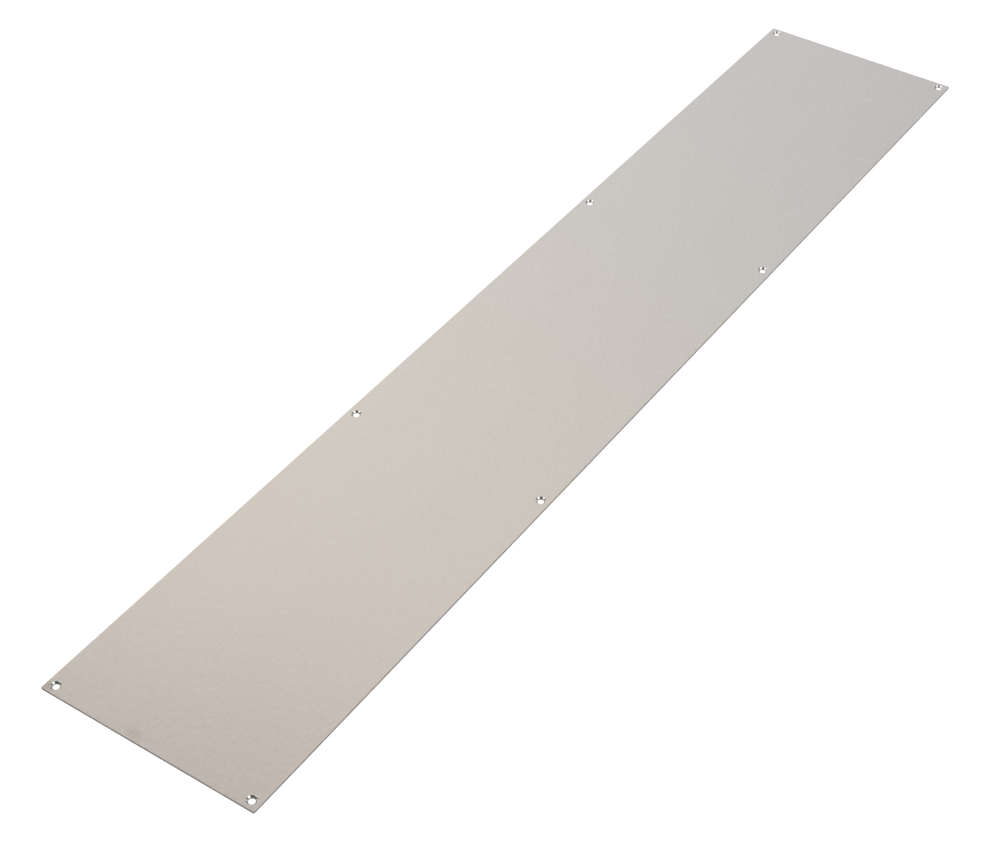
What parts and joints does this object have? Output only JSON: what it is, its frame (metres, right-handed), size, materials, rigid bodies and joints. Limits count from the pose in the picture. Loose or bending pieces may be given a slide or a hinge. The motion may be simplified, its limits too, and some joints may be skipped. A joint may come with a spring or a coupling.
{
  "type": "kick plate",
  "caption": "Flat rectangular satin-brushed steel kick plate with countersunk screw holes along both long edges.",
  "frame": {"origin": "centre of the flat back face, the face that lies against the door", "axes": "+X along the length, +Y across the width, +Z out of the brushed front face"},
  "size_m": [0.815, 0.15, 0.0015],
  "materials": {
    "satin_steel": "satin, brushed along the length"
  },
  "bodies": {
    "root": {"kick_plate": "satin_steel"}
  },
  "joints": []
}
